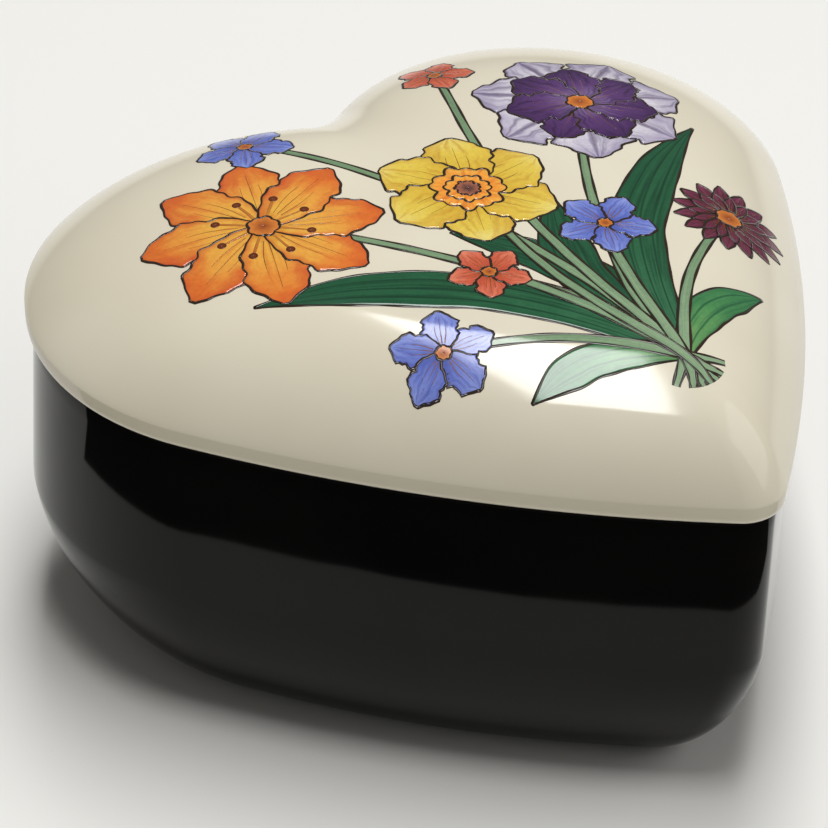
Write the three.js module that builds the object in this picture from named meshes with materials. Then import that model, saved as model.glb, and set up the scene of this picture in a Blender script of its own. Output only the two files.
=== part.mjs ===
// A heart-shaped trinket box in glazed ceramic: a deep black dish, and an ivory domed lid that lifts off.
//
// Millimetres, +Z up. The dish stands on z = 0, the heart's tip points along -Y and its two lobes along +Y,
// and the origin is under the middle of the lid's outline. The lid rests on the dish's rim, and a flange
// under the lid drops into the dish's mouth, so that it can only be lifted straight up.

import * as THREE from 'three';

// ---- Driving dimensions ----

// The lid's outline, the largest one, in plan.
const LID_WIDTH = 110;
const LID_LENGTH = 101.5;
const LOBE_RADIUS = 32;
const TIP_RADIUS = 6;
const CLEFT_RADIUS = 11.5;
const SIDE_RADIUS = 210;

// The dish.
const DISH_HEIGHT = 45.5;
const DISH_WALL = 3.4;
const DISH_FLOOR = 4;
const DISH_SWELL = 1.6; // how far the upright wall would stand out past the rim if it ran down to z = 0
const BELLY_HEIGHT = 22; // where the wall stops being upright and turns in to the foot
const FOOT_SET_BACK = 14.3; // how far in the foot lies from the wall above it, at the widest point
const TURN_IN_POWER = 1.5; // how full the turn to the foot is: 1 is a chamfer, 2 an ellipse
const FOOT_WIDTH = 4;
const FOOT_RECESS = 0.8;
const RIM_ROUND = 0.6;

// The lid.
const LID_OVERHANG = 1; // how far the lid reaches past the dish's rim
const LID_BAND = 2.6; // the upright edge under the dome
const LID_EDGE_ROUND = 0.9;
const DOME_RISE = 13;
const DOME_POWER = 5.8; // how flat the middle of the dome is
const SHOULDER_POWER = 1.14; // how softly the dome turns into the upright edge
const LID_THICKNESS = 3.8;
const CROWN_SIDE = 30; // the dome's level lines turn from the heart into an egg of this half-width,
const CROWN_BACK = 28; // this reach towards the lobes
const CROWN_FRONT = 55; // and this reach towards the tip
const CROWN_BLEND = 0.8; // how fast they do so: 0 keeps the heart up to the top
const CROWN_Y = 2; // the dome's highest point

// How the lid sits in the dish.
const SEAT_GAP = 0.3;
const FLANGE_CLEARANCE = 0.6;
const FLANGE_DEPTH = 4.5;
const FLANGE_WALL = 2.6;
const FLANGE_ROUND = 0.5;

// How finely the curves are cut up.
const TIP_STEPS = 3;
const SIDE_STEPS = 7;
const LOBE_STEP = THREE.MathUtils.degToRad(12);
const CLEFT_STEPS = 3;
const TURN_IN_STEPS = 7;
const WALL_STEPS = 3;
const DOME_STEPS = 11;
const CEILING_STEPS = 6;
const SHARPEST_TIP = 0.4;

// ---- Heights and insets that follow from them ----

const SEAT_Z = DISH_HEIGHT + SEAT_GAP;
const BAND_TOP_Z = SEAT_Z + LID_BAND;
const FLOOR_Z = FOOT_RECESS + DISH_FLOOR;
const FLANGE_Z = DISH_HEIGHT - FLANGE_DEPTH;
const MOUTH_INSET = LID_OVERHANG + DISH_WALL;
const FLANGE_INSET = MOUTH_INSET + FLANGE_CLEARANCE;
const HOLLOW_INSET = FLANGE_INSET + FLANGE_WALL;
const HOLLOW_SHARE = 1 - HOLLOW_INSET / (LID_WIDTH / 2);
const FOOT_SHARE = 1 - FOOT_SET_BACK / (LID_WIDTH / 2 - LID_OVERHANG);

// ---- The heart's outline ----

const DOWN = -Math.PI / 2;
const RIGHT = 0;
const BACK = Math.PI / 2;

// The centres of the arcs in the right half of the outline: the tip, the long side, the lobe and the cleft.
const lobeCentre = new THREE.Vector2(LID_WIDTH / 2 - LOBE_RADIUS, LID_LENGTH / 2 - LOBE_RADIUS);
const tipCentre = new THREE.Vector2(0, TIP_RADIUS - LID_LENGTH / 2);
const sideCentre = touchingCentre(lobeCentre, SIDE_RADIUS - LOBE_RADIUS, tipCentre, SIDE_RADIUS - TIP_RADIUS);
const cleftReach = LOBE_RADIUS + CLEFT_RADIUS;
const cleftCentre = new THREE.Vector2(0, lobeCentre.y + Math.sqrt(cleftReach ** 2 - lobeCentre.x ** 2));
const crown = new THREE.Vector2(0, CROWN_Y);

// The point at given distances from two others, on the side with the smaller x.
function touchingCentre(a, fromA, b, fromB) {
  const span = a.distanceTo(b);
  const along = (fromA ** 2 - fromB ** 2 + span ** 2) / (2 * span);
  const across = Math.sqrt(fromA ** 2 - along ** 2);
  const direction = b.clone().sub(a).normalize();
  const foot = a.clone().addScaledVector(direction, along);
  const side = new THREE.Vector2(direction.y, -direction.x);
  if (side.x > 0) side.negate();
  return foot.addScaledVector(side, across);
}

function directionAngle(from, to) {
  return Math.atan2(to.y - from.y, to.x - from.x);
}

// Points along an arc, without its last one.
function arc(centre, radius, start, end, steps) {
  const points = [];
  for (let i = 0; i < steps; i++) {
    const angle = start + ((end - start) * i) / steps;
    points.push(new THREE.Vector2(centre.x + radius * Math.cos(angle), centre.y + radius * Math.sin(angle)));
  }
  return points;
}

// The lobe's arc, cut so that its widest and its rearmost point are always corners of the outline.
function lobeArc(radius, start, end) {
  const inner = [RIGHT, BACK].filter((angle) => angle > start && angle < end);
  const stops = [start, ...inner, end];
  const points = [];
  for (let i = 0; i + 1 < stops.length; i++) {
    const steps = Math.ceil((stops[i + 1] - stops[i]) / LOBE_STEP);
    points.push(...arc(lobeCentre, radius, stops[i], stops[i + 1], steps));
  }
  return points;
}

// The whole outline, anticlockwise from the tip, moved in by an inset that keeps every wall even.
function heartOutline(inset) {
  const tipRadius = Math.max(TIP_RADIUS - inset, SHARPEST_TIP);
  const tipDrop = Math.sqrt((SIDE_RADIUS - inset - tipRadius) ** 2 - sideCentre.x ** 2);
  const tip = new THREE.Vector2(0, sideCentre.y - tipDrop);
  const sideStart = directionAngle(sideCentre, tip);
  const sideEnd = directionAngle(sideCentre, lobeCentre);
  const lobeEnd = directionAngle(lobeCentre, cleftCentre);
  const cleftStart = directionAngle(cleftCentre, lobeCentre);
  const half = [
    ...arc(tip, tipRadius, DOWN, sideStart, TIP_STEPS),
    ...arc(sideCentre, SIDE_RADIUS - inset, sideStart, sideEnd, SIDE_STEPS),
    ...lobeArc(LOBE_RADIUS - inset, sideEnd, lobeEnd),
    ...arc(cleftCentre, CLEFT_RADIUS + inset, cleftStart, DOWN, CLEFT_STEPS),
  ];
  const cleftBottom = new THREE.Vector2(0, cleftCentre.y - CLEFT_RADIUS - inset);
  const mirrored = half.slice(1).reverse();
  return [...half, cleftBottom, ...mirrored.map((point) => new THREE.Vector2(-point.x, point.y))];
}

// ---- Rings: outlines at a height ----

function ring(outline, z) {
  return outline.map((point) => new THREE.Vector3(point.x, point.y, z));
}

// An outline made smaller about the crown.
function scaledOutline(outline, share) {
  return outline.map((point) => point.clone().sub(crown).multiplyScalar(share).add(crown));
}

// A closed body from rings that run from its axis, round its walls and back to its axis. The first and the
// last ring are filled to their middle. The rings run anticlockwise, so the faces point out of the wall.
function ringBody(rings) {
  const count = rings[0].length;
  const positions = rings.flat().flatMap((point) => [point.x, point.y, point.z]);
  positions.push(crown.x, crown.y, rings[0][0].z, crown.x, crown.y, rings.at(-1)[0].z);
  const firstMiddle = rings.length * count;
  const lastMiddle = firstMiddle + 1;
  const lastRing = (rings.length - 1) * count;
  const triangles = [];
  for (let i = 0; i < count; i++) {
    const next = (i + 1) % count;
    triangles.push(firstMiddle, next, i);
    triangles.push(lastMiddle, lastRing + i, lastRing + next);
    for (let row = 0; row < lastRing; row += count) {
      triangles.push(row + i, row + next, row + count + next);
      triangles.push(row + i, row + count + next, row + count + i);
    }
  }
  const geometry = new THREE.BufferGeometry();
  geometry.setAttribute('position', new THREE.Float32BufferAttribute(positions, 3));
  geometry.setIndex(triangles);
  geometry.computeVertexNormals();
  return geometry;
}

// ---- The dish ----

// How far the upright wall stands out past the rim at a height: it swells a little on its way down.
function swell(z) {
  return DISH_SWELL * (1 - z / DISH_HEIGHT);
}

// The wall between a flat bottom and the rim: a soft turn out of the bottom, then the swelling upright wall.
function wallRings(rimInset, bottomZ, topZ) {
  const rings = [];
  for (let i = 0; i <= TURN_IN_STEPS; i++) {
    const angle = (BACK * i) / TURN_IN_STEPS;
    const rise = 1 - Math.cos(angle) ** (2 / TURN_IN_POWER);
    const spread = Math.sin(angle) ** (2 / TURN_IN_POWER);
    const z = bottomZ + rise * (BELLY_HEIGHT - bottomZ);
    const share = 1 - (1 - FOOT_SHARE) * (1 - spread);
    rings.push(ring(scaledOutline(heartOutline(rimInset - swell(z)), share), z));
  }
  for (let i = 1; i <= WALL_STEPS; i++) {
    const z = THREE.MathUtils.lerp(BELLY_HEIGHT, topZ, i / WALL_STEPS);
    rings.push(ring(heartOutline(rimInset - swell(z)), z));
  }
  return rings;
}

function dishGeometry() {
  const footInset = LID_OVERHANG - swell(0) + FOOT_WIDTH / FOOT_SHARE;
  const footInner = scaledOutline(heartOutline(footInset), FOOT_SHARE);
  const outside = wallRings(LID_OVERHANG, 0, DISH_HEIGHT - RIM_ROUND);
  const inside = wallRings(MOUTH_INSET, FLOOR_Z, DISH_HEIGHT - RIM_ROUND);
  const rings = [
    ring(footInner, FOOT_RECESS),
    ring(footInner, 0),
    ...outside,
    ring(heartOutline(LID_OVERHANG + RIM_ROUND), DISH_HEIGHT),
    ring(heartOutline(MOUTH_INSET - RIM_ROUND), DISH_HEIGHT),
    ...inside.reverse(),
  ];
  return ringBody(rings);
}

// ---- The lid ----

// A level line of the dome: at 1 it is the outline itself, and towards 0 it shrinks into an egg.
function domeOutline(outline, share) {
  const heartWeight = share ** CROWN_BLEND;
  return outline.map((point) => {
    const arm = point.clone().sub(crown);
    const reach = arm.length();
    const towards = arm.y > 0 ? CROWN_BACK : CROWN_FRONT;
    const egg = reach / Math.hypot(arm.x / CROWN_SIDE, arm.y / towards);
    const length = share * (reach * heartWeight + egg * (1 - heartWeight));
    return arm.setLength(length).add(crown);
  });
}

function domeHeight(share) {
  return BAND_TOP_Z + DOME_RISE * (1 - share ** DOME_POWER) ** (1 / SHOULDER_POWER);
}

// Shares for the dome's level lines, closer together near its edge, where it turns fastest.
function domeShares(steps) {
  return Array.from({ length: steps }, (_, i) => Math.cos((BACK * i) / steps) ** 0.6);
}

function lidGeometry() {
  const edge = heartOutline(0);
  const hollow = heartOutline(HOLLOW_INSET);
  const ceiling = domeShares(CEILING_STEPS).map((share) =>
    ring(domeOutline(hollow, share), domeHeight(share * HOLLOW_SHARE) - LID_THICKNESS));
  const dome = domeShares(DOME_STEPS).map((share) => ring(domeOutline(edge, share), domeHeight(share)));
  const rings = [
    ...ceiling.reverse(),
    ring(hollow, FLANGE_Z + FLANGE_ROUND),
    ring(heartOutline(HOLLOW_INSET - FLANGE_ROUND), FLANGE_Z),
    ring(heartOutline(FLANGE_INSET + FLANGE_ROUND), FLANGE_Z),
    ring(heartOutline(FLANGE_INSET), FLANGE_Z + FLANGE_ROUND),
    ring(heartOutline(FLANGE_INSET), SEAT_Z),
    ring(heartOutline(LID_EDGE_ROUND), SEAT_Z),
    ring(edge, SEAT_Z + LID_EDGE_ROUND),
    ...dome,
  ];
  return ringBody(rings);
}

// ---- The box ----

function piece(name, geometry, material) {
  const mesh = new THREE.Mesh(geometry, material);
  mesh.name = name;
  return mesh;
}

const blackGlaze = new THREE.MeshStandardMaterial({ color: 0x0b0a0a, roughness: 0.08, metalness: 0 });
const ivoryGlaze = new THREE.MeshStandardMaterial({ color: 0xded8c8, roughness: 0.12, metalness: 0 });

const box = new THREE.Group();
box.add(piece('dish', dishGeometry(), blackGlaze));
box.add(piece('lid', lidGeometry(), ivoryGlaze));

export default box;
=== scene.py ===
"""A heart-shaped trinket box in glazed ceramic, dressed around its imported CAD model.

The box is a deep black dish and a domed ivory lid that lifts off. The lid carries a fired-on floral transfer,
a posy of mixed flowers whose stems fan from near the tip, laid out from the heart's own outline. Plan sizes
are in millimetres in the model's frame, with the heart's tip towards -Y, and turn to metres in a mesh.
"""
import logging
import math
import random
from dataclasses import dataclass, field
from enum import Enum
from typing import Iterable, Sequence

import bpy
import numpy as np
from mathutils import Matrix, Vector
from mathutils.bvhtree import BVHTree


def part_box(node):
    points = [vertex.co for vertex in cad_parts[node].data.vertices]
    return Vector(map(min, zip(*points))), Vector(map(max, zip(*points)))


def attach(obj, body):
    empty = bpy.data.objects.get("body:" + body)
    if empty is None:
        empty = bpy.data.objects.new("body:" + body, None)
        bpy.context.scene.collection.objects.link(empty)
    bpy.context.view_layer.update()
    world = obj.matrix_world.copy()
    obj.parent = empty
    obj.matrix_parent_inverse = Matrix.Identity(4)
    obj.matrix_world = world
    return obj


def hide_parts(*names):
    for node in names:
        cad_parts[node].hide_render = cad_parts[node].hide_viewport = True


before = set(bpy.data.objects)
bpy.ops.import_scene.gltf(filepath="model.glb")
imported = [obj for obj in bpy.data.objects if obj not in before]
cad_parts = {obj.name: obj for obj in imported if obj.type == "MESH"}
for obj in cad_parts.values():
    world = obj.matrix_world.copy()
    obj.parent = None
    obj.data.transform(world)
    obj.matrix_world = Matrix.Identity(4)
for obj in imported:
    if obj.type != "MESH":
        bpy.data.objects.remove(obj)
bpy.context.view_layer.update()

log = logging.getLogger("trinket_box")

MM = 0.001
BLADE_MAP = "blade"
Plan = tuple[float, float]
Stops = tuple[tuple[float, str], ...]
Face = tuple[int, ...]
Tree = bpy.types.NodeTree
Node = bpy.types.Node
Socket = bpy.types.NodeSocket
Material = bpy.types.Material


# ---------------------------------------------------------------- colour and nodes


def linear(hex_colour: str) -> tuple[float, float, float, float]:
    """Turns an sRGB hex colour into a linear one.

    Args:
        hex_colour: six hex digits after a hash sign.

    Returns:
        Linear red, green and blue, and an alpha of 1.
    """
    channels = (int(hex_colour[i : i + 2], 16) / 255 for i in (1, 3, 5))
    return (*(c / 12.92 if c <= 0.04045 else ((c + 0.055) / 1.055) ** 2.4 for c in channels), 1.0)


def add_node(
    tree: Tree,
    kind: str,
    inputs: dict[str | int, object] | None = None,
    stops: Stops = (),
    **settings: object,
) -> Node:
    """Adds a node with its settings and links.

    Args:
        tree: the node tree that gets the node.
        kind: the node's type name, without the ShaderNode that they all start with.
        inputs: what goes into its inputs, by name or index: a socket is linked, anything else is a value.
        stops: positions and hex colours of a colour ramp.
        **settings: the node's own properties.

    Returns:
        The new node.
    """
    node = tree.nodes.new(f"ShaderNode{kind}")
    for name, value in settings.items():
        setattr(node, name, value)
    for key, value in (inputs or {}).items():
        if isinstance(value, Socket):
            tree.links.new(value, node.inputs[key])
        else:
            node.inputs[key].default_value = value
    for i, (position, colour) in enumerate(stops):
        elements = node.color_ramp.elements
        element = elements[i] if i < len(elements) else elements.new(position)
        element.position = position
        element.color = linear(colour)
    return node


def new_material(name: str) -> tuple[Material, Tree]:
    """Starts an empty material.

    Args:
        name: the material's name.

    Returns:
        The material and its node tree.
    """
    material = bpy.data.materials.new(name)
    material.use_nodes = True
    material.node_tree.nodes.clear()
    return material, material.node_tree


# ---------------------------------------------------------------- finishes


@dataclass(frozen=True)
class Glaze:
    """A fired gloss glaze over a slip-cast body.

    It gives the eye a deep, glassy colour with sharp reflections that sway a little, because the glaze pooled
    as it melted, and a few iron specks.
    """

    name: str
    colour: str
    pooled: str
    speck: str
    ior: float = 1.5
    specular: float = 0.5
    roughness: float = 0.07
    pool_mm: float = 26.0
    sway_mm: float = 9.0
    sway_depth_mm: float = 0.015
    speck_mm: float = 7.0
    speck_size: float = 0.016

    def material(self) -> Material:
        """Makes the glaze as a node material."""
        material, tree = new_material(self.name)
        place = add_node(tree, "TexCoord").outputs["Object"]
        pool = add_node(
            tree, "TexNoise", {"Vector": place, "Scale": 1 / (self.pool_mm * MM), "Detail": 2.0}
        )
        body = add_node(
            tree, "ValToRGB", {"Fac": pool.outputs["Fac"]},
            stops=((0.35, self.colour), (0.68, self.pooled)),
        )
        cells = add_node(
            tree, "TexVoronoi", {"Vector": place, "Scale": 1 / (self.speck_mm * MM), "Randomness": 1.0}
        )
        dot = add_node(
            tree,
            "MapRange",
            {"Value": cells.outputs["Distance"], 1: self.speck_size * 0.6, 2: self.speck_size, 3: 0.7,
             4: 0.0},
        )
        colour = add_node(
            tree, "Mix", {0: dot.outputs[0], 6: body.outputs["Color"], 7: linear(self.speck)},
            data_type="RGBA",
        )
        sway = add_node(
            tree, "TexNoise", {"Vector": place, "Scale": 1 / (self.sway_mm * MM), "Detail": 1.0}
        )
        bump = add_node(
            tree, "Bump",
            {"Height": sway.outputs["Fac"], "Distance": self.sway_depth_mm * MM, "Strength": 1.0},
        )
        gloss = add_node(
            tree, "MapRange",
            {"Value": pool.outputs["Fac"], 3: self.roughness * 0.8, 4: self.roughness * 1.3},
        )
        shader = add_node(
            tree,
            "BsdfPrincipled",
            {"Base Color": colour.outputs[2], "Roughness": gloss.outputs[0],
             "Normal": bump.outputs["Normal"], "IOR": self.ior, "Specular IOR Level": self.specular},
        )
        add_node(tree, "OutputMaterial", {"Surface": shader.outputs[0]})
        return material


@dataclass(frozen=True)
class BareClay:
    """Unglazed earthenware where the box stood in the kiln: matt, warm and a little gritty."""

    name: str = "bare_clay"
    colour: str = "#CDBFA6"
    worn: str = "#A9977C"
    grit_mm: float = 0.6
    roughness: float = 0.85

    def material(self) -> Material:
        """Makes the bare clay as a node material."""
        material, tree = new_material(self.name)
        place = add_node(tree, "TexCoord").outputs["Object"]
        grit = add_node(
            tree, "TexNoise", {"Vector": place, "Scale": 1 / (self.grit_mm * MM), "Detail": 3.0}
        )
        tone = add_node(
            tree, "ValToRGB", {"Fac": grit.outputs["Fac"]}, stops=((0.3, self.worn), (0.6, self.colour))
        )
        bump = add_node(
            tree, "Bump", {"Height": grit.outputs["Fac"], "Distance": 0.05 * MM, "Strength": 0.7}
        )
        shader = add_node(
            tree,
            "BsdfPrincipled",
            {"Base Color": tone.outputs["Color"], "Roughness": self.roughness,
             "Normal": bump.outputs["Normal"]},
        )
        add_node(tree, "OutputMaterial", {"Surface": shader.outputs[0]})
        return material


@dataclass(frozen=True)
class Ink:
    """A ceramic transfer ink, printed and fired into the glaze.

    It gives the eye a wash of colour from a blade's root to its tip, with brush streaks along it, darker
    sides and a fine print grain, all under the same gloss as the glaze.
    """

    name: str
    stops: Stops
    streak: str = "#000000"
    streak_amount: float = 0.0
    streaks: float = 9.0
    side: str = "#000000"
    side_amount: float = 0.0
    veins: float = 0.0
    roughness: float = 0.1
    grain_mm: float = 0.5

    def material(self) -> Material:
        """Makes the ink as a node material that follows each blade's own map."""
        material, tree = new_material(f"print_{self.name}")
        blade = add_node(tree, "UVMap", uv_map=BLADE_MAP)
        axes = add_node(tree, "SeparateXYZ", {0: blade.outputs[0]})
        place = add_node(tree, "TexCoord").outputs["Object"]
        cloud = add_node(tree, "TexNoise", {"Vector": place, "Scale": 1 / (3.2 * MM), "Detail": 2.0})
        drift = add_node(tree, "MapRange", {"Value": cloud.outputs["Fac"], 3: -0.22, 4: 0.22})
        along = add_node(tree, "Math", {0: axes.outputs["Y"], 1: drift.outputs[0]}, operation="ADD")
        wash = add_node(tree, "ValToRGB", {"Fac": along.outputs[0]}, stops=self.stops)
        colour = wash.outputs["Color"]
        colour = self._streaked(tree, blade, place, colour)
        colour = self._shaded_sides(tree, axes, cloud, colour)
        if self.veins:
            colour = self._veined(tree, axes, colour)
        grain = add_node(tree, "TexNoise", {"Vector": place, "Scale": 1 / (self.grain_mm * MM)})
        light = add_node(tree, "MapRange", {"Value": grain.outputs["Fac"], 3: 0.84, 4: 1.16})
        toned = add_node(tree, "HueSaturation", {"Value": light.outputs[0], "Color": colour})
        shader = add_node(
            tree, "BsdfPrincipled",
            {"Base Color": toned.outputs[0], "Roughness": self.roughness, "IOR": 1.5},
        )
        add_node(tree, "OutputMaterial", {"Surface": shader.outputs[0]})
        return material

    def _streaked(self, tree: Tree, blade: Node, place: Socket, colour: Socket) -> Socket:
        """Lays brush streaks along the blade over a colour and returns the new colour."""
        stretched = add_node(
            tree, "VectorMath", {0: blade.outputs[0], 1: (self.streaks, 1.6, 1.0)}, operation="MULTIPLY"
        )
        apart = add_node(tree, "VectorMath", {0: place, 1: (40.0, 40.0, 40.0)}, operation="MULTIPLY")
        moved = add_node(
            tree, "VectorMath", {0: stretched.outputs[0], 1: apart.outputs[0]}, operation="ADD"
        )
        brush = add_node(tree, "TexNoise", {"Vector": moved.outputs[0], "Scale": 1.0, "Detail": 3.0})
        mask = add_node(
            tree, "MapRange", {"Value": brush.outputs["Fac"], 1: 0.46, 2: 0.66, 4: self.streak_amount}
        )
        mixed = add_node(
            tree, "Mix", {0: mask.outputs[0], 6: colour, 7: linear(self.streak)}, data_type="RGBA"
        )
        return mixed.outputs[2]

    def _shaded_sides(self, tree: Tree, axes: Node, cloud: Node, colour: Socket) -> Socket:
        """Washes one side of the blade with its shade colour and returns the new colour."""
        off = add_node(tree, "Math", {0: axes.outputs["X"], 1: 0.42}, operation="SUBTRACT")
        side = add_node(tree, "Math", {0: off.outputs[0]}, operation="ABSOLUTE")
        rough = add_node(
            tree, "Math", {0: cloud.outputs["Fac"], 1: 0.35, 2: side.outputs[0]}, operation="MULTIPLY_ADD"
        )
        mask = add_node(
            tree, "MapRange", {"Value": rough.outputs[0], 1: 0.42, 2: 0.72, 4: self.side_amount}
        )
        mixed = add_node(
            tree, "Mix", {0: mask.outputs[0], 6: colour, 7: linear(self.side)}, data_type="RGBA"
        )
        return mixed.outputs[2]

    def _veined(self, tree: Tree, axes: Node, colour: Socket) -> Socket:
        """Draws fine lines along the blade and returns the new colour."""
        turns = add_node(
            tree, "Math", {0: axes.outputs["X"], 1: self.veins * 2 * math.pi}, operation="MULTIPLY"
        )
        wave = add_node(tree, "Math", {0: turns.outputs[0]}, operation="COSINE")
        line = add_node(tree, "MapRange", {"Value": wave.outputs[0], 1: 0.72, 2: 0.97, 4: 0.75})
        mixed = add_node(
            tree, "Mix", {0: line.outputs[0], 6: colour, 7: linear(self.streak)}, data_type="RGBA"
        )
        return mixed.outputs[2]


class Print(Enum):
    """The inks of the floral transfer."""

    KEY_LINE = Ink("key_line", ((0.0, "#33241A"), (1.0, "#2A211C")))
    FINE_LINE = Ink("fine_line", ((0.0, "#8A5A22"), (1.0, "#6E4318")))
    YELLOW = Ink(
        "petal_yellow", ((0.0, "#B9822A"), (0.25, "#D6B03A"), (0.7, "#DEC350"), (1.0, "#E4D27A")),
        streak="#BE8C30", streak_amount=0.6, side="#CC9C3A", side_amount=0.65,
    )
    TRUMPET = Ink(
        "trumpet_orange", ((0.0, "#B25A22"), (0.4, "#E4822E"), (0.75, "#EE9C3C"), (1.0, "#F0B24C")),
        streak="#C65F1E", streak_amount=0.6, streaks=40.0,
    )
    THROAT = Ink(
        "throat_mauve", ((0.0, "#4B2A26"), (0.6, "#8C5A4A"), (1.0, "#B5623A")), streak="#3A2522",
        streak_amount=0.4,
    )
    ORANGE = Ink(
        "petal_orange",
        ((0.0, "#C9802A"), (0.2, "#E3AE48"), (0.55, "#E29A40"), (0.82, "#D9702E"), (1.0, "#C4542A")),
        streak="#CC6A2C", streak_amount=0.6, side="#CC5A2C", side_amount=0.9,
    )
    ANTHER = Ink("anther_brown", ((0.0, "#7B3A1C"), (1.0, "#4C2416")))
    FILAMENT = Ink("filament", ((0.0, "#C98A38"), (1.0, "#B2642A")))
    MAROON = Ink(
        "petal_maroon", ((0.0, "#3A1424"), (0.45, "#5E2036"), (1.0, "#85415A")), streak="#3B1524",
        streak_amount=0.7, streaks=7.0, side="#42182A", side_amount=0.6,
    )
    BLUE = Ink(
        "petal_blue", ((0.0, "#3F4E9E"), (0.4, "#6C7CC8"), (1.0, "#8C9AD8")), streak="#4A58A8",
        streak_amount=0.7, side="#5563B4", side_amount=0.6,
    )
    CORAL = Ink(
        "petal_coral", ((0.0, "#A8402C"), (0.4, "#CC5F43"), (1.0, "#DE866A")), streak="#B24A34",
        streak_amount=0.7, side="#B8503A", side_amount=0.6,
    )
    EYE = Ink("flower_eye", ((0.0, "#8A3E1A"), (1.0, "#D98238")))
    LEAF = Ink(
        "leaf_green", ((0.0, "#3A6E4C"), (0.4, "#2A6040"), (1.0, "#1E5036")), streak="#123826",
        streak_amount=0.75, streaks=10.0, side="#1A4E34", side_amount=0.6, veins=4.0,
    )
    LEAF_LIGHT = Ink(
        "leaf_light", ((0.0, "#6E9A5E"), (0.5, "#4E8A52"), (1.0, "#2E6E46")), streak="#24583A",
        streak_amount=0.6, streaks=10.0, side="#2C6642", side_amount=0.5, veins=3.0,
    )
    STEM = Ink(
        "stem_green", ((0.0, "#8FA886"), (1.0, "#76926E")), streak="#5E7E5C", streak_amount=0.7,
        side="#5C7A5A", side_amount=0.6,
    )
    PURPLE = Ink(
        "petal_purple", ((0.0, "#8A74A0"), (0.4, "#5A3A70"), (1.0, "#3E2450")), streak="#2E1A3C",
        streak_amount=0.7, side="#3A2248", side_amount=0.6,
    )
    LILAC = Ink(
        "petal_lilac", ((0.0, "#B9B2C4"), (0.5, "#D8D3DC"), (1.0, "#A49AB4")), streak="#6E6482",
        streak_amount=0.7, side="#8A80A0", side_amount=0.6, veins=2.0,
    )


@dataclass(frozen=True)
class PaleSurface:
    """A plain matt sheet, as a tabletop and as the card that a black glaze mirrors."""

    name: str
    colour: str
    roughness: float = 0.8

    def material(self) -> Material:
        """Makes the sheet's material."""
        material, tree = new_material(self.name)
        shader = add_node(
            tree, "BsdfPrincipled", {"Base Color": linear(self.colour), "Roughness": self.roughness}
        )
        add_node(tree, "OutputMaterial", {"Surface": shader.outputs[0]})
        return material


# ---------------------------------------------------------------- plan outline and rings


def direction(start: Plan, end: Plan) -> float:
    """The angle, in radians, of the way from one plan point to another."""
    return math.atan2(end[1] - start[1], end[0] - start[0])


def arc(centre: Plan, radius: float, start: float, end: float, steps: int) -> list[Plan]:
    """Points along an arc, without its last one.

    Args:
        centre: the arc's centre.
        radius: its radius.
        start: the angle it starts at, in radians.
        end: the angle it ends at.
        steps: how many points it gets.

    Returns:
        The points.
    """
    angles = (start + (end - start) * i / steps for i in range(steps))
    return [(centre[0] + radius * math.cos(a), centre[1] + radius * math.sin(a)) for a in angles]


@dataclass(frozen=True)
class Heart:
    """The lid's outline in plan: arcs at the tip, along the sides, round the lobes and in the cleft."""

    width: float
    length: float
    lobe_radius: float = 32.0
    tip_radius: float = 6.0
    cleft_radius: float = 11.5
    side_radius: float = 210.0
    sharpest_tip: float = 0.4

    @property
    def lobe(self) -> Plan:
        """The right lobe's centre."""
        return (self.width / 2 - self.lobe_radius, self.length / 2 - self.lobe_radius)

    @property
    def cleft(self) -> Plan:
        """The centre of the fillet between the lobes."""
        reach = self.lobe_radius + self.cleft_radius
        return (0.0, self.lobe[1] + math.sqrt(reach**2 - self.lobe[0] ** 2))

    @property
    def side(self) -> Plan:
        """The centre of the long arc that touches the tip and the right lobe."""
        tip = Vector((0.0, self.tip_radius - self.length / 2))
        lobe = Vector(self.lobe)
        from_lobe = self.side_radius - self.lobe_radius
        from_tip = self.side_radius - self.tip_radius
        span = (tip - lobe).length
        along = (from_lobe**2 - from_tip**2 + span**2) / (2 * span)
        across = math.sqrt(from_lobe**2 - along**2)
        way = (tip - lobe).normalized()
        off = Vector((way.y, -way.x))
        if off.x > 0:
            off = -off
        centre = lobe + way * along + off * across
        return (centre.x, centre.y)

    def outline(self, inset: float = 0.0) -> np.ndarray:
        """The outline moved in by an even inset.

        Args:
            inset: how far in, in millimetres.

        Returns:
            Plan points, anticlockwise from the tip.
        """
        side, lobe, cleft = self.side, self.lobe, self.cleft
        tip_radius = max(self.tip_radius - inset, self.sharpest_tip)
        drop = math.sqrt((self.side_radius - inset - tip_radius) ** 2 - side[0] ** 2)
        tip = (0.0, side[1] - drop)
        down = -math.pi / 2
        half = [
            *arc(tip, tip_radius, down, direction(side, tip), 12),
            *arc(side, self.side_radius - inset, direction(side, tip), direction(side, lobe), 44),
            *arc(lobe, self.lobe_radius - inset, direction(side, lobe), 0.0, 10),
            *arc(lobe, self.lobe_radius - inset, 0.0, math.pi / 2, 40),
            *arc(lobe, self.lobe_radius - inset, math.pi / 2, direction(lobe, cleft), 24),
            *arc(cleft, self.cleft_radius + inset, direction(cleft, lobe), down, 14),
            (0.0, cleft[1] - self.cleft_radius - inset),
        ]
        mirrored = [(-x, y) for x, y in half[-2:0:-1]]
        return np.array(half + mirrored)


@dataclass(frozen=True)
class Row:
    """One ring of a body's wall: plan points at a height, and whether the wall below it is bare clay."""

    points: np.ndarray
    z: float
    bare: bool = False


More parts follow.
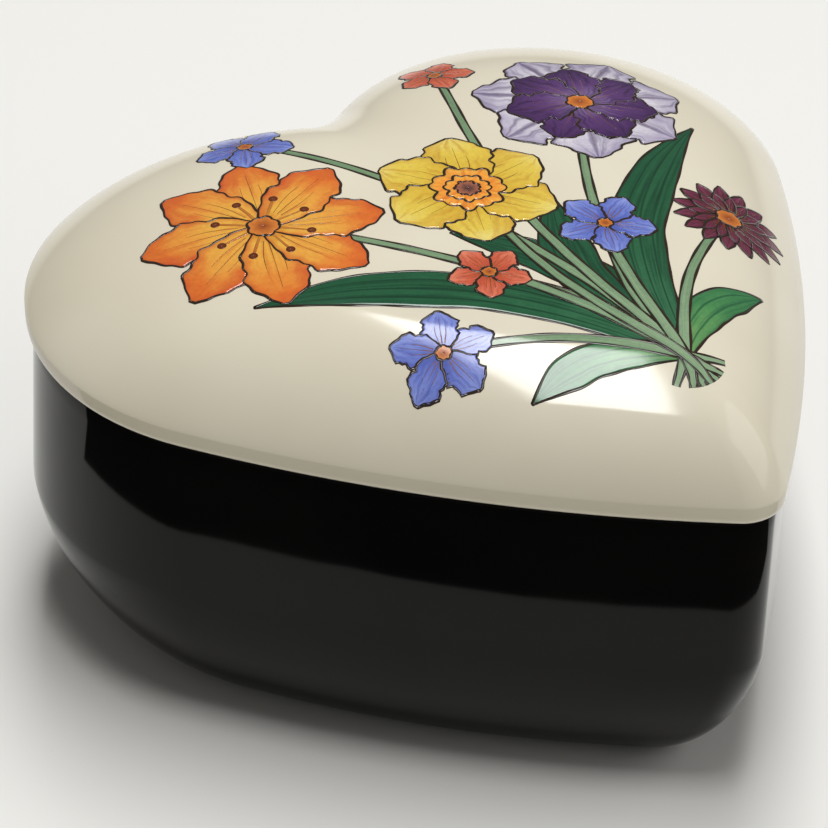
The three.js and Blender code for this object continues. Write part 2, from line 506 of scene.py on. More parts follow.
def corner(inset: float, z: float, radius: float, start: float, end: float, steps: int = 5) -> list[Plan]:
    """A rounded corner in a wall's section.

    Args:
        inset: the corner's centre, as an inset from the outline.
        z: the centre's height.
        radius: the corner's radius.
        start: the angle it starts at in degrees, where 0 points out of the box and 90 up.
        end: the angle it ends at.
        steps: how many steps it gets.

    Returns:
        Pairs of inset and height.
    """
    angles = (math.radians(start + (end - start) * i / steps) for i in range(steps + 1))
    return [(inset - radius * math.cos(a), z + radius * math.sin(a)) for a in angles]


def add_faces(mesh: bpy.types.Mesh, smooth: Sequence[bool], slots: Sequence[int]) -> None:
    """Sets each face's shading and material slot.

    Args:
        mesh: the mesh.
        smooth: whether each face is smooth.
        slots: each face's material slot.
    """
    mesh.polygons.foreach_set("use_smooth", smooth)
    mesh.polygons.foreach_set("material_index", slots)
    mesh.update()


def make_piece(name: str, mesh: bpy.types.Mesh, materials: Iterable[Material]) -> bpy.types.Object:
    """Makes an object of a mesh and puts it in the scene.

    Args:
        name: the piece's name.
        mesh: its mesh.
        materials: its materials, in the order of their slots.

    Returns:
        The object.
    """
    piece = bpy.data.objects.new(name, mesh)
    for material in materials:
        mesh.materials.append(material)
    bpy.context.scene.collection.objects.link(piece)
    return piece


def ring_body(name: str, rows: Sequence[Row], middle: Plan) -> bpy.types.Mesh:
    """Makes a closed body from rings that run from its axis, round its walls and back to its axis.

    Args:
        name: the mesh's name.
        rows: the rings, each with the same number of points.
        middle: the plan point that the first and the last ring are filled to.

    Returns:
        The mesh, with slot 1 on its bare clay.
    """
    count = len(rows[0].points)
    points = [(x * MM, y * MM, row.z * MM) for row in rows for x, y in row.points]
    points += [(middle[0] * MM, middle[1] * MM, row.z * MM) for row in (rows[0], rows[-1])]
    first, last = len(points) - 2, len(points) - 1
    faces: list[Face] = []
    slots: list[int] = []
    for i in range(count):
        after = (i + 1) % count
        faces.append((first, after, i))
        slots.append(0)
        end = (len(rows) - 1) * count
        faces.append((last, end + i, end + after))
        slots.append(0)
        for number, row in enumerate(rows[1:]):
            low, high = number * count, (number + 1) * count
            faces.append((low + i, low + after, high + after, high + i))
            slots.append(int(row.bare))
    mesh = bpy.data.meshes.new(name)
    mesh.from_pydata(points, [], faces)
    add_faces(mesh, [True] * len(faces), slots)
    return mesh


# ---------------------------------------------------------------- the two ceramic pieces


@dataclass(frozen=True)
class Fit:
    """How the lid and the dish meet, and where the crown of the dome is."""

    overhang: float = 1.0
    wall: float = 3.4
    clearance: float = 0.6
    flange_wall: float = 2.6
    flange_depth: float = 4.5
    seat_gap: float = 0.3
    crown: Plan = (0.0, 2.0)

    @property
    def mouth(self) -> float:
        """Inset of the dish's mouth."""
        return self.overhang + self.wall

    @property
    def flange(self) -> float:
        """Inset of the lid's flange."""
        return self.mouth + self.clearance

    @property
    def hollow(self) -> float:
        """Inset of the hollow under the lid."""
        return self.flange + self.flange_wall


@dataclass
class Dish:
    """The deep dish: walls that swell a little, a soft turn to a foot ring, and a recessed underside."""

    heart: Heart
    fit: Fit
    height: float
    swell: float = 1.6
    belly: float = 22.0
    foot_set_back: float = 14.3
    turn_in_power: float = 1.5
    foot_width: float = 4.0
    foot_recess: float = 0.8
    floor: float = 4.0
    rim_round: float = 0.6
    foot_round: float = 0.35
    turn_steps: int = 30
    wall_steps: int = 12

    @property
    def foot_share(self) -> float:
        """The foot's size against the wall above it."""
        return 1 - self.foot_set_back / (self.heart.width / 2 - self.fit.overhang)

    def swelling(self, z: float) -> float:
        """How far the wall stands out past the rim at a height."""
        return self.swell * (1 - z / self.height)

    def shrunk(self, points: np.ndarray, share: float) -> np.ndarray:
        """Plan points drawn in towards the crown."""
        crown = np.array(self.fit.crown)
        return (points - crown) * share + crown

    def wall_rows(self, rim_inset: float, bottom: float) -> list[Row]:
        """The wall from a flat bottom up to just under the rim's rounding.

        Args:
            rim_inset: the wall's inset at the rim.
            bottom: the height that the wall starts from.

        Returns:
            The rows, from the bottom up.
        """
        rows = []
        for i in range(self.turn_steps + 1):
            angle = math.pi / 2 * i / self.turn_steps
            rise = 1 - max(math.cos(angle), 0.0) ** (2 / self.turn_in_power)
            spread = math.sin(angle) ** (2 / self.turn_in_power)
            z = bottom + rise * (self.belly - bottom)
            share = 1 - (1 - self.foot_share) * (1 - spread)
            rows.append(Row(self.shrunk(self.heart.outline(rim_inset - self.swelling(z)), share), z))
        top = self.height - self.rim_round
        for i in range(1, self.wall_steps + 1):
            z = self.belly + (top - self.belly) * i / self.wall_steps
            rows.append(Row(self.heart.outline(rim_inset - self.swelling(z)), z))
        return rows

    def foot_rows(self) -> list[Row]:
        """The underside's recess and the inner edge of the bare foot ring."""
        inner = self.fit.overhang - self.swelling(0) + self.foot_width / self.foot_share
        steps = (
            (4.0, self.foot_recess, False),
            (0.5, self.foot_recess, False),
            (0.12, self.foot_recess * 0.85, False),
            (0.0, self.foot_recess * 0.5, False),
            (-0.12, self.foot_recess * 0.15, True),
            (-self.foot_round, 0.0, True),
            (0.7 - self.foot_width, 0.0, True),
        )
        rows = []
        for extra, z, bare in steps:
            outline = self.heart.outline(inner + extra / self.foot_share)
            rows.append(Row(self.shrunk(outline, self.foot_share), z, bare))
        return rows

    def rim_rows(self) -> list[Row]:
        """The rounded rim, from its outer edge to the mouth."""
        level = self.height - self.rim_round
        outer = corner(self.fit.overhang + self.rim_round, level, self.rim_round, 0, 90)
        inner = corner(self.fit.mouth - self.rim_round, level, self.rim_round, 90, 180)
        return [Row(self.heart.outline(inset), z) for inset, z in outer[1:] + inner[:-1]]

    def build(self) -> bpy.types.Object:
        """Builds and glazes the dish."""
        outside = self.wall_rows(self.fit.overhang, 0.0)
        outside[0] = Row(outside[0].points, outside[0].z, bare=True)
        inside = self.wall_rows(self.fit.mouth, self.foot_recess + self.floor)
        rows = [*self.foot_rows(), *outside, *self.rim_rows(), *reversed(inside)]
        mesh = ring_body("dish_body", rows, self.fit.crown)
        # A black gloss glaze mirrors what lies round it only faintly, so its specular level is low.
        glaze = Glaze(
            "black_glaze", "#090808", "#0E0D0C", "#1A1816", specular=0.16, roughness=0.05, speck_mm=30.0
        )
        piece = make_piece("dish_body", mesh, (glaze.material(), BareClay().material()))
        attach(piece, "dish")
        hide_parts("dish")
        return piece


@dataclass
class Lid:
    """The domed lid: an upright band, a full pillow dome, and a flange round the hollow underneath."""

    heart: Heart
    fit: Fit
    seat: float
    top: float
    band: float = 2.6
    edge_round: float = 0.9
    flange_round: float = 0.5
    dome_power: float = 5.8
    shoulder_power: float = 1.14
    thickness: float = 3.8
    crown_side: float = 30.0
    crown_back: float = 28.0
    crown_front: float = 55.0
    crown_blend: float = 0.8
    dome_steps: int = 60
    ceiling_steps: int = 20

    @property
    def rise(self) -> float:
        """How far the dome rises over the band."""
        return self.top - self.seat - self.band

    def level_line(self, outline: np.ndarray, share: float) -> np.ndarray:
        """A level line of the dome: the outline itself at 1, shrinking into an egg round the crown.

        Args:
            outline: the outline that the dome springs from.
            share: which level line, from 0 to 1.

        Returns:
            Its plan points.
        """
        arms = outline - np.array(self.fit.crown)
        reach = np.hypot(arms[:, 0], arms[:, 1])
        ends = np.where(arms[:, 1] > 0, self.crown_back, self.crown_front)
        egg = reach / np.hypot(arms[:, 0] / self.crown_side, arms[:, 1] / ends)
        weight = share**self.crown_blend
        length = share * (reach * weight + egg * (1 - weight))
        return arms * (length / reach)[:, None] + np.array(self.fit.crown)

    def height(self, share: float) -> float:
        """The dome's height at a level line."""
        return self.seat + self.band + self.rise * (1 - share**self.dome_power) ** (1 / self.shoulder_power)

    def shares(self, steps: int) -> list[float]:
        """Level lines from the edge to the crown, closest where the dome turns fastest."""
        return [math.cos(math.pi / 2 * i / steps) ** 0.6 for i in range(steps)]

    def flange_rows(self) -> list[Row]:
        """The flange's walls and the flat seat, down the inside and up the outside."""
        low = self.seat - self.fit.seat_gap - self.fit.flange_depth + self.flange_round
        inner = corner(self.fit.hollow - self.flange_round, low, self.flange_round, 180, 270)
        outer = corner(self.fit.flange + self.flange_round, low, self.flange_round, 270, 360)
        root = corner(self.fit.flange - 0.4, self.seat - 0.4, -0.4, 0, 90)
        edge = corner(self.edge_round, self.seat + self.edge_round, self.edge_round, 270, 360)
        rows = [Row(self.heart.outline(inset), z) for inset, z in inner]
        rows += [Row(self.heart.outline(inset), z, bare=z < low) for inset, z in outer]
        rows += [Row(self.heart.outline(inset), z) for inset, z in root]
        rows += [Row(self.heart.outline(inset), z, bare=i == 0) for i, (inset, z) in enumerate(edge)]
        return rows

    def surface(self) -> BVHTree:
        """The dome alone, as finely cut as the films on it need, for laying them without steps."""
        edge = self.heart.outline()
        closer = np.linspace(0, len(edge), len(edge) * 3, endpoint=False)
        whole = range(len(edge) + 1)
        edge = np.stack([np.interp(closer, whole, [*axis, axis[0]]) for axis in edge.T], axis=1)
        shares = self.shares(self.dome_steps * 4)
        rows = [(self.level_line(edge, share), self.height(share)) for share in shares]
        points = [(x * MM, y * MM, z * MM) for outline, z in rows for x, y in outline]
        points.append((self.fit.crown[0] * MM, self.fit.crown[1] * MM, rows[-1][1] * MM))
        count, last = len(edge), (len(rows) - 1) * len(edge)
        faces: list[Face] = []
        for i in range(count):
            after = (i + 1) % count
            for row in range(0, last, count):
                faces.append((row + i, row + after, row + count + after, row + count + i))
            faces.append((last + i, last + after, len(points) - 1))
        return BVHTree.FromPolygons(points, faces)

    def build(self) -> bpy.types.Object:
        """Builds and glazes the lid."""
        hollow = self.heart.outline(self.fit.hollow)
        hollow_share = 1 - self.fit.hollow / (self.heart.width / 2)
        ceiling = [
            Row(self.level_line(hollow, share), self.height(share * hollow_share) - self.thickness)
            for share in self.shares(self.ceiling_steps)
        ]
        edge = self.heart.outline()
        shares = self.shares(self.dome_steps)
        dome = [Row(self.level_line(edge, share), self.height(share)) for share in shares]
        rows = [*reversed(ceiling), *self.flange_rows(), *dome]
        mesh = ring_body("lid_body", rows, self.fit.crown)
        glaze = Glaze("ivory_glaze", "#D9D1BB", "#E0D9C5", "#A09886", roughness=0.09, speck_mm=16.0)
        piece = make_piece("lid_body", mesh, (glaze.material(), BareClay().material()))
        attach(piece, "lid")
        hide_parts("lid")
        return piece


# ---------------------------------------------------------------- the floral transfer


def smooth_line(points: Sequence[Plan], steps: int) -> np.ndarray:
    """A smooth curve through plan points.

    Args:
        points: the points it goes through.
        steps: how many equal steps it is cut into.

    Returns:
        The curve's points, evenly spaced in the curve's own parameter.
    """
    pts = np.array([points[0], *points, points[-1]], dtype=float)
    spans = len(points) - 1
    result = []
    for t in np.linspace(0, spans, steps + 1):
        i = min(int(t), spans - 1)
        f = t - i
        a, b, c, d = pts[i : i + 4]
        square, cube = 2 * a - 5 * b + 4 * c - d, 3 * b - a - 3 * c + d
        result.append(0.5 * (2 * b + (c - a) * f + square * f**2 + cube * f**3))
    return np.array(result)


def profile(values: Sequence[float], steps: int) -> np.ndarray:
    """Smoothly spreads a few half-widths over a blade's length.

    Args:
        values: half-widths, evenly spaced from root to tip.
        steps: how many steps the blade has.

    Returns:
        A half-width for each step.
    """
    column = [(float(i), value) for i, value in enumerate(values)]
    return np.maximum(smooth_line(column, steps)[:, 1], 0.02)


class TransferPiece:
    """One printed motif, as films that lie on the lid's glaze. Lengths are in millimetres."""

    base_lift = 0.008
    layer_lift = 0.003
    film_depth = 0.03
    key_width = 0.16
    columns = 15
    point_gap = 0.35
    line_gap = 0.5
    disc_hole = 0.02
    disc_rings = 7
    disc_points = 28

    def __init__(self, name: str, surface: BVHTree, seed: int) -> None:
        """Starts an empty motif.

        Args:
            name: the piece's name.
            surface: the lid's surface.
            seed: the seed of the hand's small wobbles.
        """
        self.name = name
        self.surface = surface
        self.wobble = random.Random(seed)
        self.layer = 0
        self.points: list[tuple[float, float, float]] = []
        self.maps: list[Plan] = []
        self.faces: list[Face] = []
        self.slots: list[int] = []
        self.smooth: list[bool] = []
        self.inks: list[Print] = []

    def glaze_height(self, x: float, y: float) -> float:
        """The glaze's height under a plan point.

        Args:
            x: the plan point's x.
            y: its y.

        Returns:
            The height in metres.
        """
        hit = self.surface.ray_cast(Vector((x * MM, y * MM, 1.0)), Vector((0, 0, -1)))[0]
        if hit is None:
            raise ValueError(f"{self.name}: ({x:.1f}, {y:.1f}) is off the lid")
        return hit.z

    def film(
        self, grid: np.ndarray, maps: np.ndarray, ink: Print, lift: float, closed: bool = False
    ) -> None:
        """Lays a grid of plan points on the lid as a closed film.

        Args:
            grid: plan points, as rows of columns.
            maps: the blade map's values at them.
            ink: the film's ink.
            lift: its height off the glaze, in millimetres.
            closed: whether the last row joins the first.
        """
        if ink not in self.inks:
            self.inks.append(ink)
        slot = self.inks.index(ink)
        rows, columns = grid.shape[:2]
        start = len(self.points)
        size = rows * columns
        flat = grid.reshape(-1, 2)
        heights = [self.glaze_height(x, y) for x, y in flat]
        for height in (lift, -self.film_depth):
            self.points += [(x * MM, y * MM, z + height * MM) for (x, y), z in zip(flat, heights)]
            self.maps += [(float(u), float(v)) for u, v in maps.reshape(-1, 2)]
        spans = rows if closed else rows - 1
        for r in range(spans):
            low, high = start + r * columns, start + (r + 1) % rows * columns
            for c in range(columns - 1):
                self.add_face((low + c, low + c + 1, high + c + 1, high + c), slot, True)
                under = (low + c, high + c, high + c + 1, low + c + 1)
                self.add_face(tuple(corner + size for corner in under), slot, True)
            last = columns - 1
            self.add_face((low, high, high + size, low + size), slot, False)
            self.add_face((low + last, low + last + size, high + last + size, high + last), slot, False)
        if not closed:
            end = start + (rows - 1) * columns
            for c in range(columns - 1):
                first = start + c
                self.add_face((first, first + size, first + 1 + size, first + 1), slot, False)
                self.add_face((end + c, end + c + 1, end + c + 1 + size, end + c + size), slot, False)

    def add_face(self, corners: tuple[int, ...], slot: int, smooth: bool) -> None:
        """Keeps a face for the mesh."""
        self.faces.append(corners)
        self.slots.append(slot)
        self.smooth.append(smooth)

    def next_layer(self) -> float:
        """Moves up one layer and returns its lift."""
        self.layer += 1
        return self.base_lift + self.layer * self.layer_lift

    def blade(
        self,
        spine: Sequence[Plan],
        widths: Sequence[float],
        ink: Print,
        ruffle: float = 0.0,
        waves: float = 5.0,
        outlined: bool = True,
    ) -> None:
        """Draws one petal, leaf or stem.

        Args:
            spine: the points that its middle line goes through, root first.
            widths: half-widths, evenly spaced from root to tip.
            ink: its ink.
            ruffle: how far its edge waves, as a share of its half-width.
            waves: how many waves each edge has.
            outlined: whether it gets a key line round it.
        """
        length = float(np.sum(np.hypot(*np.diff(np.array(spine), axis=0).T)))
        steps = max(12, int(length / self.point_gap))
        line = smooth_line(spine, steps)
        heading = np.gradient(line, axis=0)
        heading /= np.hypot(heading[:, 0], heading[:, 1])[:, None]
        normal = np.stack((-heading[:, 1], heading[:, 0]), axis=1)
        half = profile(widths, steps)
        t = np.linspace(0, 1, steps + 1)
        edges = []
        for _ in range(2):
            phase, second = (self.wobble.uniform(0, 2 * math.pi) for _ in range(2))
            turns = 2 * math.pi * waves * t
            wave = np.sin(turns + phase) + 0.6 * np.sin(2.3 * turns + second)
            edges.append(half * (1 + ruffle * wave * np.minimum(1, 2.5 * t)))
        across = np.linspace(-1, 1, self.columns)
        width = np.where(across[None, :] > 0, edges[0][:, None], edges[1][:, None]) * across[None, :]
        grid = line[:, None, :] + normal[:, None, :] * width[:, :, None]
        maps = np.stack(np.meshgrid((across + 1) / 2, t), axis=2)
        lift = self.next_layer()
        self.film(grid[:, ::-1], maps[:, ::-1], ink, lift)
        if outlined:
            border = np.vstack((grid[:, 0], grid[-1:, self.columns // 2], grid[::-1, -1]))
            self.stroke(border, self.key_width, Print.KEY_LINE, lift + self.layer_lift / 2)

    def stroke(
        self,
        points: np.ndarray,
        half_width: float,
        ink: Print,
        lift: float,
        taper: float = 0.0,
        closed: bool = False,
    ) -> None:
        """Draws a line of ink.

        Args:
            points: the plan points it follows.
            half_width: half its width.
            ink: its ink.
            lift: its height off the glaze.
            taper: how much thinner it ends, from 0 to 1.
            closed: whether it joins its own start.
        """
        if closed:
            before, after = np.roll(points, 1, axis=0), np.roll(points, -1, axis=0)
            heading = after - before
        else:
            heading = np.gradient(points, axis=0)
        heading /= np.maximum(np.hypot(heading[:, 0], heading[:, 1]), 1e-6)[:, None]
        normal = np.stack((-heading[:, 1], heading[:, 0]), axis=1)
        t = np.linspace(0, 1, len(points))
        pressure = 1 + 0.25 * np.sin(t * len(points) * 0.35 + self.wobble.uniform(0, 6))
        half = half_width * pressure * (1 - taper * t)
        grid = points[:, None, :] + normal[:, None, :] * np.stack((-half, half), axis=1)[:, :, None]
        maps = np.stack(np.meshgrid((0.0, 1.0), t), axis=2)
        self.film(grid[:, ::-1], maps[:, ::-1], ink, lift, closed)

    def line(self, points: Sequence[Plan], half_width: float, ink: Print, taper: float = 0.6) -> None:
        """Draws a smooth tapering line just over the last shape."""
        length = float(np.sum(np.hypot(*np.diff(np.array(points), axis=0).T)))
        lift = self.base_lift + (self.layer + 0.75) * self.layer_lift
        self.stroke(smooth_line(points, max(6, int(length / self.line_gap))), half_width, ink, lift, taper)

    def disc(
        self,
        centre: Plan,
        radius: float,
        ink: Print,
        frills: int = 0,
        frill: float = 0.0,
        outlined: bool = True,
    ) -> None:
        """Draws a round shape with a frilled edge.

        Args:
            centre: its centre.
            radius: its radius.
            ink: its ink.
            frills: how many frills its edge has.
            frill: how deep they are, as a share of the radius.
            outlined: whether it gets a key line.
        """
        steps = max(self.disc_points, frills * 8)
        angles = np.linspace(0, 2 * math.pi, steps, endpoint=False)
        phase = self.wobble.uniform(0, 6)
        waves = 1 + frill * (
            np.abs(np.sin(angles * frills / 2 + phase)) - 0.5
            + 0.4 * np.sin(angles * (frills // 2 + 1) + 2 * phase)
        )
        rim = radius * np.stack((np.cos(angles) * waves, np.sin(angles) * waves), axis=1)
        shares = np.linspace(self.disc_hole, 1, self.disc_rings)
        grid = np.array(centre)[None, None, :] + rim[:, None, :] * shares[None, :, None]
        maps = np.stack(np.meshgrid(shares, angles / (2 * math.pi)), axis=2)[:, :, ::-1]
        lift = self.next_layer()
        self.film(grid, maps, ink, lift, closed=True)
        if outlined:
            above = lift + self.layer_lift / 2
            self.stroke(grid[:, -1], self.key_width, Print.KEY_LINE, above, closed=True)

    def build(self) -> bpy.types.Object:
        """Makes the motif's piece and fixes it to the lid."""
        mesh = bpy.data.meshes.new(self.name)
        mesh.from_pydata(self.points, [], self.faces)
        layer = mesh.uv_layers.new(name=BLADE_MAP)
        corners = np.empty(len(mesh.loops), dtype=np.int32)
        mesh.loops.foreach_get("vertex_index", corners)
        layer.data.foreach_set("uv", np.array(self.maps, dtype=np.float32)[corners].ravel())
        add_faces(mesh, self.smooth, self.slots)
        piece = make_piece(self.name, mesh, (INKS[ink] for ink in self.inks))
        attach(piece, "lid")
        return piece


INKS: dict[Print, Material] = {}


@dataclass(frozen=True)
class Bloom:
    """One kind of flower: rings of equal petals round an eye. Lengths are in millimetres."""

    name: str
    petals: int
    reach: float
    width: float
    rings: tuple[Print, ...]
    ruffle: float = 0.08
    cup: float = 0.0
    stamens: int = 0
    eye: float = 1.0


@dataclass(frozen=True)
class Sprig:
    """One stem of the posy: its bearing from the heart's axis, its share of the way out, and its bloom."""

    bearing: float
    share: float
    bloom: Bloom


# Each leaf has a twin across the axis: its bearing, its share of the way to the edge, its half-width and ink.
LEAVES = (
    (13.0, 0.42, 3.4, Print.LEAF),
    (43.0, 0.66, 3.4, Print.LEAF),
    (72.0, 0.60, 2.6, Print.LEAF_LIGHT),
)
STEM_HALF_WIDTHS = (0.4, 0.75, 0.7, 0.6, 0.5)
# Half-widths from a petal's root to its tip, as shares of the widest.
PETAL_SHAPE = (0.35, 0.8, 1.0, 0.8, 0.1)
# The frilled cup's rings, as shares of its radius.
CUP = ((1.0, Print.TRUMPET), (0.62, Print.TRUMPET), (0.34, Print.THROAT))
CUPPED = Bloom("cupped_yellow", 6, 12.0, 0.40, (Print.YELLOW,), cup=4.6)
SUNBURST = Bloom("orange_sunburst", 8, 15.5, 0.27, (Print.ORANGE,), stamens=8, eye=2.0)
RUFFLED = Bloom("lilac_ruffle", 7, 14.5, 0.36, (Print.LILAC, Print.PURPLE), ruffle=0.14, eye=1.8)
RAYED = Bloom("plum_rays", 15, 7.4, 0.15, (Print.MAROON, Print.MAROON), ruffle=0.04, eye=1.7)
BLUE_STAR = Bloom("blue_star", 5, 6.6, 0.34, (Print.BLUE,), ruffle=0.12)
CORAL_STAR = Bloom("coral_star", 5, 5.4, 0.34, (Print.CORAL,), ruffle=0.12)
POSY = (
    Sprig(-20.0, 0.31, CORAL_STAR),
    Sprig(20.0, 0.31, BLUE_STAR),
    Sprig(-13.0, 0.82, BLUE_STAR),
    Sprig(13.0, 0.82, CORAL_STAR),
    Sprig(-52.0, 0.43, BLUE_STAR),
    Sprig(52.0, 0.48, RAYED),
    Sprig(27.0, 0.64, RUFFLED),
    Sprig(-27.0, 0.64, SUNBURST),
    Sprig(0.0, 0.54, CUPPED),
)


@dataclass
class FloralTransfer:
    """A posy whose stems and leaves fan from near the heart's tip, laid out from the heart's outline."""

    heart: Heart
    surface: BVHTree
    root_share: float = 0.33
    tail: float = 5.0
    leaf_bow: float = 0.12
    stem_bow: float = 0.07
    bloom_layer: int = 16
    pieces: list[bpy.types.Object] = field(default_factory=list)

    @property
    def root(self) -> np.ndarray:
        """Where the stems cross."""
        return np.array((0.0, -self.heart.length * self.root_share))

    def place(self, bearing: float, share: float) -> np.ndarray:
        """A plan point part of the way from the root to the heart's edge.

        Args:
            bearing: the way to go, in degrees from the heart's axis.
            share: how much of the way to the edge.

        Returns:
            The plan point.
        """
        edge = self.heart.outline() - self.root
        bearings = np.degrees(np.arctan2(edge[:, 0], edge[:, 1]))
        return self.root + edge[np.argmin(np.abs(bearings - bearing))] * share

    def spine(self, end: np.ndarray, bow: float, tail: float) -> list[Plan]:
        """A line that leaves the root upright and leans out to its end.

        Args:
            end: where it ends.
            bow: how far it bulges, as a share of its length.
            tail: how far it starts below the root, in millimetres.

        Returns:
            The plan points it goes through.
        """
        way = end - self.root
        side = np.array((-way[1], way[0])) * math.copysign(bow, way[0])
        below = np.array((-way[0], -abs(way[1]))) / np.hypot(*way) * tail
        shares = (0.0, 0.25, 0.5, 0.75, 1.0)
        points = [self.root + way * share + side * math.sin(math.pi * share) for share in shares]
        return [tuple(point) for point in ([self.root + below] if tail else []) + points]

    def foliage(self) -> None:
        """Draws strap leaves between the stems, then the stems."""
        motif = TransferPiece("transfer_foliage", self.surface, 3)
        for bearing, share, half, ink in LEAVES:
            for sign in (-1, 1):
                widths = (half * 0.35, half * 0.8, half, half * 0.85, 0.1)
                line = self.spine(self.place(sign * bearing, share), self.leaf_bow, 0.0)
                motif.blade(line, widths, ink, 0.04, 2)
        for sprig in POSY:
            line = self.spine(self.place(sprig.bearing, sprig.share), self.stem_bow, self.tail)
            motif.blade(line, STEM_HALF_WIDTHS, Print.STEM)
        self.pieces.append(motif.build())

    def crease(self, motif: TransferPiece, root: np.ndarray, tip: np.ndarray, bow: float) -> None:
        """Draws the fine lines that run up a petal.

        Args:
            motif: the motif that the petal is in.
            root: where the petal starts.
            tip: where it ends.
            bow: how far the outer lines stand off the middle one, in millimetres.
        """
        way = tip - root
        side = np.array((-way[1], way[0])) / np.hypot(*way)
        for step, reach in ((-1, 0.6), (0, 0.8), (1, 0.6)):
            shares = (0.15, 0.35, 0.5, reach)
            bends = (root + way * t + side * step * bow * math.sin(math.pi * t) for t in shares)
            motif.line([tuple(point) for point in bends], 0.06, Print.FINE_LINE)

    def bloom(self, number: int, sprig: Sprig) -> None:
        """Draws a sprig's flower as its own piece.

        Args:
            number: the sprig's place in the posy, which seeds its small wobbles.
            sprig: the sprig.
        """
        kind = sprig.bloom
        motif = TransferPiece(f"transfer_{kind.name}_{number}", self.surface, 11 + number)
        motif.layer = self.bloom_layer
        centre = self.place(sprig.bearing, sprig.share)
        turn = motif.wobble.uniform(0, 360)

        def out(angle: float, reach: float) -> np.ndarray:
            """A plan point at an angle and reach from the bloom's centre."""
            return centre + reach * np.array((math.cos(angle), math.sin(angle)))

        for ring, ink in enumerate(kind.rings):
            reach = kind.reach * (1 - 0.28 * ring)
            half = kind.width * reach
            for i in range(kind.petals):
                angle = math.radians(turn + 360 * (i + 0.5 * ring) / kind.petals)
                root, tip = out(angle, 0.06 * reach), out(angle, reach)
                line = [tuple(root), tuple(out(angle, 0.55 * reach)), tuple(tip)]
                widths = [half * share for share in PETAL_SHAPE]
                motif.blade(line, widths, ink, kind.ruffle, 3)
                self.crease(motif, root, tip, half * 0.3)
        for share, ink in CUP if kind.cup else ():
            motif.disc(tuple(centre), kind.cup * share, ink, frills=12, frill=0.16)
        for i in range(kind.stamens):
            end = out(math.radians(turn + 360 * (i + 0.5) / kind.stamens), kind.reach * 0.4)
            line = [tuple(centre), tuple((centre + end) / 2), tuple(end)]
            motif.line(line, 0.22, Print.FILAMENT, taper=0.3)
            motif.disc(tuple(end), 0.6, Print.ANTHER, outlined=False)
        if not kind.cup:
            motif.disc(tuple(centre), kind.eye, Print.EYE, frills=8, frill=0.12)
        self.pieces.append(motif.build())

    def build(self) -> list[bpy.types.Object]:
        """Prints the foliage and then each bloom."""
        for ink in Print:
            INKS[ink] = ink.value.material()
        self.foliage()
        for number, sprig in enumerate(POSY):
            self.bloom(number, sprig)
        return self.pieces


# ---------------------------------------------------------------- studio


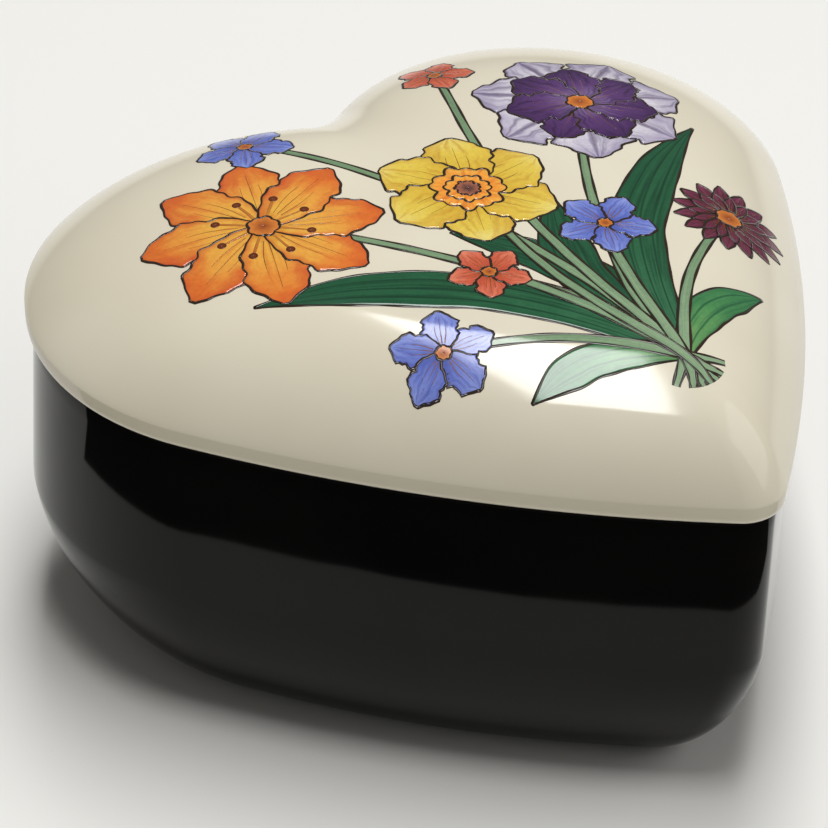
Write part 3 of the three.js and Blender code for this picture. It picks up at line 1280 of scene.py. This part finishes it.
@dataclass
class Studio:
    """A pale table, a dark surround that only the gloss sees, soft lights and the camera."""

    heart: Heart
    table_size: float = 3.0
    sheet_margin_mm: float = 42.0
    surround_half_angle: float = 80.0
    azimuth: float = -41.3
    elevation: float = 37.4
    distance_mm: float = 421.4
    lens_mm: float = 138.2
    roll: float = 2.65
    aim_height_mm: float = 30.0
    aim_aside_mm: float = 10.9
    aim_down_mm: float = 0.7

    def table(self) -> bpy.types.Object:
        """Lays the pale table."""
        half = self.table_size / 2
        mesh = bpy.data.meshes.new("table")
        corners = [(-half, -half, 0), (half, -half, 0), (half, half, 0), (-half, half, 0)]
        mesh.from_pydata(corners, [], [(0, 1, 2, 3)])
        table = make_piece("table", mesh, (PaleSurface("pale_table", "#EFEEEA").material(),))
        return table

    def surround(self) -> bpy.types.Object:
        """Lays the dark surround that the box's gloss mirrors beyond its pale sheet."""
        front = np.array(self.towards(self.azimuth, 0.0)[:2])
        outline = self.heart.outline(-self.sheet_margin_mm)
        # The outline starts at the cleft, so that the front is in one stretch.
        outline = np.roll(outline, len(outline) // 2, axis=0)
        facing = outline @ front / np.hypot(outline[:, 0], outline[:, 1])
        inner = outline[facing > math.cos(math.radians(self.surround_half_angle))]
        outer = inner * (self.table_size * 0.5 / (self.heart.width * MM))
        points = [(x * MM, y * MM, 0.0004) for x, y in (*inner, *outer)]
        count = len(inner)
        faces = [(i, i + 1, count + i + 1, count + i) for i in range(count - 1)]
        mesh = bpy.data.meshes.new("dark_surround")
        mesh.from_pydata(points, [], [face[::-1] for face in faces])
        surround = make_piece("dark_surround", mesh, (PaleSurface("dark_surround", "#0A0A0A").material(),))
        surround.visible_camera = False
        surround.visible_diffuse = False
        surround.visible_shadow = False
        surround.visible_transmission = False
        return surround

    def light(
        self, name: str, azimuth: float, elevation: float, away: float, size: Plan, watts: float
    ) -> None:
        """Hangs a soft rectangular light that faces the box.

        Args:
            name: the light's name.
            azimuth: where it hangs round the box, in degrees, as a camera's azimuth is counted.
            elevation: how high it hangs, in degrees.
            away: how far it is, in metres.
            size: its width and height, in metres.
            watts: its power.
        """
        data = bpy.data.lights.new(name, "AREA")
        data.shape = "RECTANGLE"
        data.size, data.size_y = size
        data.energy = watts
        light = bpy.data.objects.new(name, data)
        light.location = self.towards(azimuth, elevation) * away + Vector((0, 0, self.aim_height_mm * MM))
        light.rotation_mode = "QUATERNION"
        light.rotation_quaternion = self.towards(azimuth, elevation).to_track_quat("Z", "Y")
        bpy.context.scene.collection.objects.link(light)

    def towards(self, azimuth: float, elevation: float) -> Vector:
        """The direction of a place round the box."""
        a, e = math.radians(azimuth), math.radians(elevation)
        return Vector((math.sin(a) * math.cos(e), -math.cos(a) * math.cos(e), math.sin(e)))

    def lights(self) -> None:
        """Hangs the window light overhead and a broad soft light at one side, in a dim pale room."""
        self.light("window", 142.0, 84.0, 0.9, (0.24, 0.85), 7.8)
        self.light("room_side", 45.0, 38.0, 1.6, (1.2, 1.2), 5.0)
        world = bpy.data.worlds.new("room")
        world.use_nodes = True
        world.node_tree.nodes["Background"].inputs["Color"].default_value = linear("#F2F0EC")
        world.node_tree.nodes["Background"].inputs["Strength"].default_value = 0.16
        bpy.context.scene.world = world

    def camera(self) -> bpy.types.Object:
        """Sets up the camera, in front of the left side and above, tilted a little."""
        back = self.towards(self.azimuth, self.elevation)
        right = Vector((0, 0, 1)).cross(back).normalized()
        up = back.cross(right)
        centre = Vector((0, 0, self.aim_height_mm))
        place = centre + back * self.distance_mm
        aim = centre - right * self.aim_aside_mm - up * self.aim_down_mm
        view = (place - aim).normalized()
        level = Vector((0, 0, 1)).cross(view).normalized()
        top = view.cross(level)
        roll = math.radians(self.roll)
        side = level * math.cos(roll) + top * math.sin(roll)
        head = top * math.cos(roll) - level * math.sin(roll)
        data = bpy.data.cameras.new("camera")
        data.sensor_width = 36.0
        data.lens = self.lens_mm
        camera = bpy.data.objects.new("camera", data)
        turn = Matrix((side, head, view)).transposed().to_4x4()
        camera.matrix_world = Matrix.Translation(place * MM) @ turn
        bpy.context.scene.collection.objects.link(camera)
        bpy.context.scene.camera = camera
        return camera

    def build(self) -> None:
        """Sets the stage."""
        self.camera()
        self.table()
        self.surround()
        self.lights()
        bpy.context.scene.view_settings.view_transform = "Standard"


# ---------------------------------------------------------------- the box


# How far the dome sits under its full height, so that the printed films stay inside the model's box.
FILM_ALLOWANCE_MM = 0.2


def main() -> None:
    """Builds the studio, the two ceramic pieces and the transfer, and reports each piece."""
    logging.basicConfig(level=logging.INFO, format="%(message)s")
    lid_low, lid_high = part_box("lid")
    dish_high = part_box("dish")[1]
    heart = Heart((lid_high.x - lid_low.x) / MM, (lid_high.y - lid_low.y) / MM)
    fit = Fit()
    height = dish_high.z / MM
    Studio(heart).build()
    dish = Dish(heart, fit, height).build()
    dome = Lid(heart, fit, height + fit.seat_gap, lid_high.z / MM - FILM_ALLOWANCE_MM)
    lid = dome.build()
    prints = FloralTransfer(heart, dome.surface()).build()
    for piece in (dish, lid, *prints):
        log.info("%s: %d faces", piece.name, len(piece.data.polygons))


if __name__ == "__main__":
    main()
